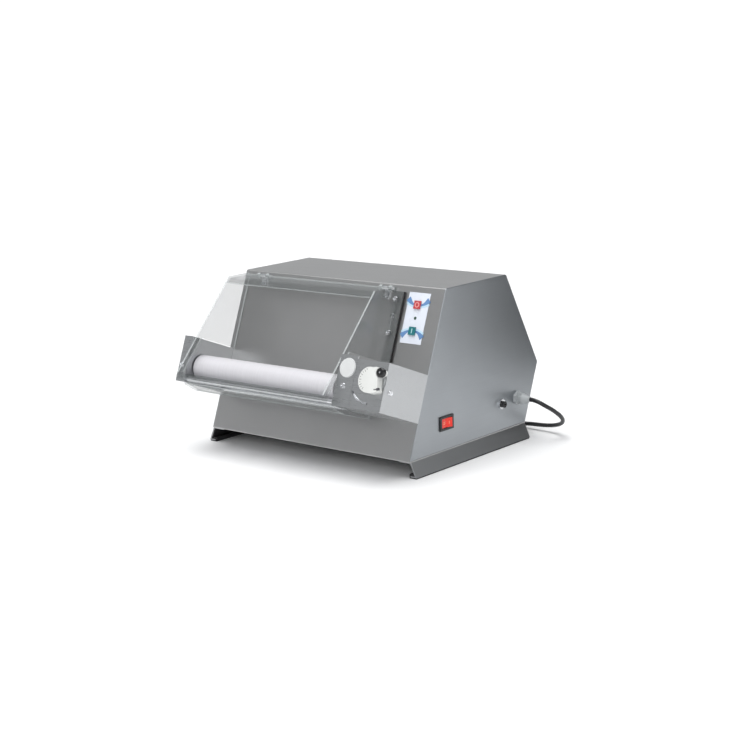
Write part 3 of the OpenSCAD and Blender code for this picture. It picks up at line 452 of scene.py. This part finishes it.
def round_panel(node, name, outward):
    """A side panel whose outer rim is rolled over by almost its thickness."""
    bm = flat_faced(node)
    low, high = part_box(node)
    face_x = high.x if outward > 0 else low.x
    thick = high.x - low.x
    middle = (low + high) / 2
    rim = []
    for edge in bm.edges:
        normals = [f.normal for f in edge.link_faces]
        on_face = all(abs(v.co.x - face_x) < SAME_PLACE for v in edge.verts)
        if on_face and len(normals) == 2 and abs(normals[0].x - normals[1].x) > 0.9:
            wall = min(normals, key=lambda n: abs(n.x))
            if wall.dot(edge.verts[0].co - middle) > 0.04:
                rim.append(edge)
    bmesh.ops.bevel(bm, geom=rim, offset=thick * 0.93, segments=5, profile=0.5, affect="EDGES")
    piece = finish_piece(from_bmesh(name, bm, 50), "casing", (node,), "side")
    piece.modifiers.new("weighted", "WEIGHTED_NORMAL").keep_sharp = True


round_panel("side_panel_left", "left_panel", -1)
round_panel("side_panel_right", "right_panel", 1)
for node in ("skid_left", "skid_right"):
    soften(node, "skid", 0.0004)
soften("skid_rubbers", "rubber", 0.0006)

# ---------- roller unit ----------

for node in ("unit_wall_left", "unit_wall_right", "left_end_cover", "drive_cover"):
    soften(node, "unit", 0.0006, 3)
for node in ("slide_block_left", "slide_block_right"):
    soften(node, "nylon", 0.0006, 3)
soften("cover_cap", "cap", 0.0005, 3)
for node in ("rear_roller", "front_roller"):
    soften(node, "roller", 0.0012, 3)
for node in ("tie_bars", "rear_roller_shaft", "front_roller_shaft", "output_shaft", "adjuster_screw",
             "guard_hinges", "plunger_spring"):
    soften(node, "bright", 0.0003)
for node in ("m5_screws", "guard_screws", "guard_magnet"):
    soften(node, "zinc", 0.0003)
soften("roller_scrapers", "unit", 0.0002)
soften("rear_roller_bushes", "bronze", 0.0003)
for node in ("rear_gear", "front_gear"):
    soften(node, "gear", 0.0002)
for node in ("roller_pulley", "motor_pulley", "gearbox_housing", "adjuster_yoke"):
    soften(node, "cast", 0.0005)
soften("drive_belt", "rubber", 0.0003)
soften("motor_housing", "motor", 0.0008)
soften("motor_rotor", "core", 0.0004)
soften("motor_bracket", "casing", 0.0006)
soften("guard_sensor", "sensor", 0.0008)

# ---------- adjuster ----------

soften("adjuster_dial", "nylon", 0.0013, 4)
SPINDLE_X, SPINDLE_S = front_of(frame_point("adjuster_turn"))[:2]
DIAL_FACE = 103.3                              # d of the dial's flat face, under its grip
MARK_RADII = (14.2, 18.2)
MARK_TURNS = [100 + 14 * k for k in range(11)]  # degrees round the spindle


def flat_strip(bm, path, width, low, high):
    """A ribbon of a width, or of one width per point, along (x, s) points, from d = low to high."""
    widths = width if isinstance(width, (list, tuple)) else [width] * len(path)
    rows = []
    for k, (x, s) in enumerate(path):
        (xa, sa), (xb, sb) = path[max(k - 1, 0)], path[min(k + 1, len(path) - 1)]
        along = Vector((xb - xa, sb - sa)).normalized()
        nx, ns = -along.y * widths[k] / 2, along.x * widths[k] / 2
        rows.append([bm.verts.new(on_front(x + e * nx, s + e * ns, d))
                     for d in (low, high) for e in (-1, 1)])
    for a, b in zip(rows, rows[1:]):
        for u, v in ((0, 1), (1, 3), (3, 2), (2, 0)):
            bm.faces.new((a[u], a[v], b[v], b[u]))
    for row in (rows[0], rows[-1]):
        bm.faces.new((row[0], row[1], row[3], row[2]))


def add_marks():
    """Graduations round the dial, every other one shorter."""
    bm = bmesh.new()
    for k, turn in enumerate(MARK_TURNS):
        c, n = math.cos(math.radians(turn)), math.sin(math.radians(turn))
        inner = MARK_RADII[0] + (1.6 if k % 2 else 0)
        line = [(SPINDLE_X + r * c, SPINDLE_S + r * n) for r in (inner, MARK_RADII[1])]
        flat_strip(bm, line, 0.55, DIAL_FACE - 0.05, DIAL_FACE + 0.12)
    finish_piece(from_bmesh("dial_marks", bm), "adjuster", material="ink")


add_marks()

# The pin across the end of the grip: (distance along it, radius)
GRIP_TOP = span("adjuster_dial")[1][2]
PIN_AT = on_front(SPINDLE_X + 28.2, SPINDLE_S - 13.2, GRIP_TOP)
PIN_ALONG = (ACROSS * 0.98 + UP * 0.2).normalized()
PIN_PROFILE = [(-8, 0), (-8, 0.8), (-2.2, 0.8), (-2.1, 2.1), (2.1, 2.1), (2.2, 0.8), (3.4, 0.8), (3.4, 0)]
finish_piece(lathe("dial_cross_pin", PIN_PROFILE, PIN_AT - OUT * 0.0002, PIN_ALONG, 24), "adjuster",
             material="dark_pin")

KNOB_LOW, KNOB_HIGH = span("index_plunger")
KNOB_R = (KNOB_HIGH[0] - KNOB_LOW[0]) / 2
KNOB_X, KNOB_S = ((a + b) / 2 for a, b in zip(KNOB_LOW[:2], KNOB_HIGH[:2]))
KNOB_H = 9.0
STEM_R = 1.5
COLLAR_FROM, COLLAR_TO, COLLAR_R = 2.6, 3.4, 2.9


def add_knob():
    """Moulded knob with rounded rims, on the plunger's collared pin, and the end of the pin in it."""
    base = KNOB_LOW[2]
    under = KNOB_HIGH[2] - base - KNOB_H
    stem = [(0, 0), (0, STEM_R - 0.2), (0.2, STEM_R), (COLLAR_FROM, STEM_R), (COLLAR_FROM, COLLAR_R),
            (COLLAR_TO, COLLAR_R), (COLLAR_TO, STEM_R), (under, STEM_R), (under, KNOB_R - 3)]
    top = under + KNOB_H
    rims = (arc(under, KNOB_R - 3, under + 2.6, KNOB_R, 7, False)
            + arc(top - 2.8, KNOB_R, top - 0.5, KNOB_R - 3.4, 8))
    crown = [(top - 0.15, KNOB_R - 5), (top - 0.1, 1.8), (top - 0.6, 1.6), (top - 0.6, 0)]
    knob = lathe("plunger_knob", stem + rims + crown, on_front(KNOB_X, KNOB_S, base), OUT)
    finish_piece(knob, "plunger", ("index_plunger",), "black")
    dot = lathe("plunger_pin_end", [(0, 0), (0, 1.35), (0.35, 1.3), (0.5, 0.9), (0.5, 0)],
                on_front(KNOB_X, KNOB_S, KNOB_HIGH[2] - 0.62), OUT, 24)
    finish_piece(dot, "plunger", material="zinc")


add_knob()

# ---------- guard ----------

CUT_EDGE = 3.4  # faces narrower than this are cut edges or bends


def narrowest(face):
    """The least width of a flat face, in millimetres."""
    least = math.inf
    for edge in face.edges:
        along = (edge.verts[1].co - edge.verts[0].co).normalized()
        across = along.cross(face.normal)
        reach = [v.co.dot(across) for v in face.verts]
        least = min(least, (max(reach) - min(reach)) / MM)
    return least


def clear_sheet(node, name, body):
    """The clear sheet of a CAD node, with a painted highlight on its cut edges and bends, which are paler and less
    see-through than its faces.
    """
    bm = flat_faced(node)
    # faces of cut edges and bends get the painted-highlight material
    for face in bm.faces:
        face.material_index = 1 if narrowest(face) < CUT_EDGE else 0
    piece = finish_piece(from_bmesh(name, bm), body, (node,), "clear")
    piece.data.materials.append(M["clear_edge_painted_highlight"])
    bevelled(piece, 0.0004, 2).material = 1


clear_sheet("upper_guard", "guard_sheet", BODY_OF["upper_guard"])
clear_sheet("outlet_guard", "outlet_sheet", BODY_OF["outlet_guard"])
soften("guard_seal", "rubber", 0.0004)

# ---------- control panel ----------

soften("control_label", "film", 0.0001)
soften("control_board", "board", 0.0003)
soften("stop_button", "stop", 0.0005, 3)
soften("start_button", "start", 0.0005, 3)
LABEL_LOW, LABEL_HIGH = span("control_label")
LABEL_X = (LABEL_LOW[0] + LABEL_HIGH[0]) / 2
LABEL_S = (LABEL_LOW[1] + LABEL_HIGH[1]) / 2
LABEL_FACE = LABEL_HIGH[2]
STOP_LOW, STOP_HIGH = span("stop_button")
KEY_FACE = STOP_HIGH[2]
KEY_RISE = (STOP_LOW[1] + STOP_HIGH[1]) / 2 - LABEL_S
HALF_LABEL = (LABEL_HIGH[0] - LABEL_LOW[0]) / 2
INK = 0.12      # how far a printed mark stands off, so that it shows


def add_swooshes():
    """Bands that narrow from the label's edges to each key, with a paler one below each."""
    for name, material, widths, drop in (("label_bands", "blue", (9.5, 7.5, 5.2, 3.6, 3.0), 0),
                                         ("label_glow", "pale_blue", (7.5, 5.5, 4.0, 3.0, 2.0), 5.2)):
        bm = bmesh.new()
        for end in (1, -1):
            for side in (1, -1):
                path = []
                for k in range(5):
                    t = k / 4
                    x = side * (HALF_LABEL - 0.3 - t * (HALF_LABEL - 6.2))
                    rise = KEY_RISE + 9.5 * (1 - t) ** 1.7 - drop * (1 - 0.4 * t)
                    path.append((LABEL_X + x, LABEL_S + end * rise))
                top = LABEL_FACE + (INK if not drop else INK * 0.5)
                flat_strip(bm, path, list(widths), LABEL_FACE - 0.02, top)
        finish_piece(from_bmesh(name, bm), "casing", material=material)


def add_key_marks():
    """The stop key's ring and the start key's bar."""
    bm = bmesh.new()
    turns = [math.radians(360 * k / 32) for k in range(33)]
    ring = [(LABEL_X + 3.6 * math.cos(t), LABEL_S + KEY_RISE + 3.6 * math.sin(t)) for t in turns]
    flat_strip(bm, ring, 1.5, KEY_FACE - 0.02, KEY_FACE + INK)
    finish_piece(from_bmesh("stop_mark", bm), "stop_key", material="stop_mark")
    bm = bmesh.new()
    s = LABEL_S - KEY_RISE
    flat_strip(bm, [(LABEL_X, s - 3.8), (LABEL_X, s + 3.8)], 1.7, KEY_FACE - 0.02, KEY_FACE + INK)
    finish_piece(from_bmesh("start_mark", bm), "start_key",
                 material="start_mark")


def add_lamp():
    """The domed lens between the two keys."""
    profile = [(0, 0), (0, 2.6)] + arc(0.1, 2.6, 1.2, 0, 6)
    lamp = lathe("lamp_lens", profile, on_front(LABEL_X, LABEL_S, LABEL_FACE), OUT, 24)
    finish_piece(lamp, "casing", material="lamp")


add_swooshes()
add_key_marks()
add_lamp()

# ---------- power switch and fuse ----------

soften("rocker_frame", "switch_black", 0.0008, 3)
soften("fuse_holder", "zinc", 0.0006, 3)
soften("fuse_cap", "black", 0.0006, 3)
soften("rocker", "red", 0.0007, 3)


def add_rocker_marks():
    """A bar and a ring on the two halves of the rocker's face."""
    faces = [p for p in NODES["rocker"].data.polygons if p.normal.x > 0.8 and p.area > 1e-5]
    halves = {}
    for face in faces:
        halves.setdefault(round(face.normal.y, 2), []).append(face.center)
    middle = sum((Vector(f.center) for f in faces), Vector()) / len(faces)
    for name, turn in (("rocker_bar", min(halves)), ("rocker_ring", max(halves))):
        normal = Vector((math.sqrt(1 - turn * turn), turn, 0))
        side = Vector((-normal.y, normal.x, 0))
        spot = sum(halves[turn], Vector()) / len(halves[turn])
        spot.z = middle.z
        bm = bmesh.new()
        turns = [2 * math.pi * k / 24 for k in range(25)]
        ring = [(2.1 * math.cos(t), 2.1 * math.sin(t)) for t in turns]
        path = [(0, -2.4), (0, 2.4)] if name == "rocker_bar" else ring
        flat_strip(bm, path, 0.8, -0.03, 0.1)
        to_face = Matrix((side, Vector((0, 0, 1)), normal)).transposed().to_4x4()
        from_front = Matrix((ACROSS, UP, OUT)).to_4x4() @ Matrix.Translation(-FRONT_EDGE)
        bm.transform(Matrix.Translation(spot) @ to_face @ from_front)
        finish_piece(from_bmesh(name, bm), "switch_rocker", material="rocker_mark")


add_rocker_marks()

# ---------- gland, tie and plug ----------

soften("cable_gland", "gland", 0.0007, 3)
soften("cord_tie", "black", 0.0005)
soften("plug_pins", "pins", 0.0008, 3)
CAP_LOW, CAP_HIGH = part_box("gland_cap")
CAP_LEN = (CAP_HIGH.x - CAP_LOW.x) / MM
CAP_R = (CAP_HIGH.y - CAP_LOW.y) / 2 / MM


def fluted(name, sections, at, axis, lobes, around):
    """A round piece with shallow flutes: (distance, radius, flute depth) sections, in millimetres."""
    bm = bmesh.new()
    rings = []
    for z, r, deep in sections:
        ring = []
        for k in range(around):
            t = 2 * math.pi * k / around
            q = (r - deep * (0.5 - 0.5 * math.cos(lobes * t)) ** 3) * MM
            ring.append(bm.verts.new((q * math.cos(t), q * math.sin(t), z * MM)))
        rings.append(ring)
    for low, high in zip(rings, rings[1:]):
        for k in range(around):
            j = (k + 1) % around
            bm.faces.new((low[k], low[j], high[j], high[k]))
    bm.faces.new(rings[0])
    bm.faces.new(rings[-1])
    bm.transform(Matrix.Translation(at) @ axes(axis))
    return from_bmesh(name, bm, 50)


def add_gland_cap():
    """The gland's ribbed nut, which narrows to the lead."""
    r = CAP_R
    tip = CORD_R / MM + 1.1
    sections = [(0, r - 0.6, 0), (0.5, r, 0.9), (7.5, r, 0.9), (8.6, r - 0.5, 0.2), (9.4, r - 1.0, 0)]
    for k in range(1, 7):
        t = k / 6
        left = (1 - t) ** 1.15
        sections.append((9.4 + (CAP_LEN - 9.9) * t, (r - 1.0) * left + tip * (1 - left), 0))
    sections.append((CAP_LEN, tip - 0.4, 0))
    at = Vector((CAP_LOW.x, GLAND_TIP.y, GLAND_TIP.z))
    cap = fluted("gland_nut", sections, at, ACROSS, 18, 144)
    return finish_piece(cap, "casing", ("gland_cap",), "gland")


def add_plug():
    """Moulded plug: a ribbed strain relief, a waisted grip and a wide face for the pins."""
    low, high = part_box("mains_plug")
    length = (high.x - low.x) / MM
    widest = (high.z - low.z) / 2 / MM
    sections = [(0, 4.6, 0)]
    for k in range(6):
        z, r = 0.6 + 2.6 * k, 5.2 + 0.55 * k
        sections += [(z, r, 0), (z + 1.5, r + 0.2, 0), (z + 1.7, r - 0.9, 0), (z + 2.4, r - 0.8, 0)]
    sections += [(17, 10.5, 0), (19, 13.0, 0.6), (24, 14.2, 1.6), (31, 14.0, 1.8), (36, 15.6, 1.0),
                 (38.5, widest - 0.6, 0), (39.2, widest, 0), (length - 0.6, widest, 0),
                 (length, widest - 0.6, 0)]
    at = Vector((low.x, (low.y + high.y) / 2, (low.z + high.z) / 2))
    plug = fluted("plug_body", sections, at, ACROSS, 10, 120)
    return finish_piece(plug, "casing", ("mains_plug",), "plug")


GLAND_CAP = add_gland_cap()
PLUG = add_plug()

# ---------- floor and light ----------


FLOOR_HALF = 60             # wide enough that its edge is never seen
HORIZON_BAND = (0.05, 0.16)  # heights on the sky's unit sphere


def add_floor():
    """The white floor that the machine stands on."""
    bm = bmesh.new()
    bmesh.ops.create_grid(bm, x_segments=1, y_segments=1, size=FLOOR_HALF)
    floor = from_bmesh("floor", bm)
    SCENE.collection.objects.link(floor)
    look = Look("floor_paint", (0.87, 0.87, 0.87), 0.7, specular_ior_level=0.0)
    look.vary_color(look.grain((2, 2, 2)), (0.85, 0.85, 0.855))
    floor.data.materials.append(look.material)


def add_card(name, at, aim, size, shade):
    """A matt card beside the view, which only reflections see."""
    bm = bmesh.new()
    bmesh.ops.create_grid(bm, x_segments=1, y_segments=1, size=0.5)
    card = from_bmesh(name, bm)
    SCENE.collection.objects.link(card)
    card.scale = (*size, 1)
    card.location = at
    card.rotation_euler = (Vector(aim) - Vector(at)).to_track_quat("Z", "Y").to_euler()
    look = Look(name + "_paint", (shade, shade, shade * 1.06), 0.8)
    look.vary_color(look.grain((1, 1, 1)), (shade * 0.9,) * 3)
    card.data.materials.append(look.material)
    for seen in ("camera", "diffuse", "transmission", "volume_scatter", "shadow"):
        setattr(card, "visible_" + seen, False)


def add_light(name, at, aim, size, power):
    """A rectangular lamp."""
    data = bpy.data.lights.new(name, "AREA")
    data.shape = "RECTANGLE"
    data.size, data.size_y = size
    data.energy = power
    light = bpy.data.objects.new(name, data)
    SCENE.collection.objects.link(light)
    light.location = at
    light.rotation_euler = (Vector(aim) - Vector(at)).to_track_quat("-Z", "Y").to_euler()


def add_overhead(strength, spread, tilt):
    """A soft light from above, as wide as its spread in degrees."""
    data = bpy.data.lights.new("overhead", "SUN")
    data.energy = strength
    data.angle = math.radians(spread)
    light = bpy.data.objects.new("overhead", data)
    SCENE.collection.objects.link(light)
    light.rotation_euler = tilt


def add_world(color, strength, horizon):
    """An even sky, with a white band along the horizon."""
    world = bpy.data.worlds.new("studio")
    world.use_nodes = True
    nodes, links = world.node_tree.nodes, world.node_tree.links
    place = nodes.new("ShaderNodeTexCoord")
    split = nodes.new("ShaderNodeSeparateXYZ")
    band = nodes.new("ShaderNodeMapRange")
    low, high = HORIZON_BAND
    for name, value in (("From Min", low), ("From Max", high), ("To Min", horizon), ("To Max", strength)):
        band.inputs[name].default_value = value
    links.new(place.outputs["Generated"], split.inputs[0])
    links.new(split.outputs["Z"], band.inputs["Value"])
    background = nodes["Background"]
    background.inputs["Color"].default_value = (*color, 1)
    links.new(band.outputs[0], background.inputs["Strength"])
    SCENE.world = world


add_floor()
add_world((0.97, 0.985, 1.0), 0.5, 1.1)
add_overhead(2.7, 50, (math.radians(8), math.radians(-6), 0))
add_light("front_fill", (1.75, -2.35, 1.25), (0, 0, 0.12), (0.9, 0.9), 13)
add_card("side_card", (0.335, 0.70, 0.34), (0.02, 0.34, 0.34), (0.66, 0.68), 0.05)
SCENE.view_settings.view_transform = "Standard"
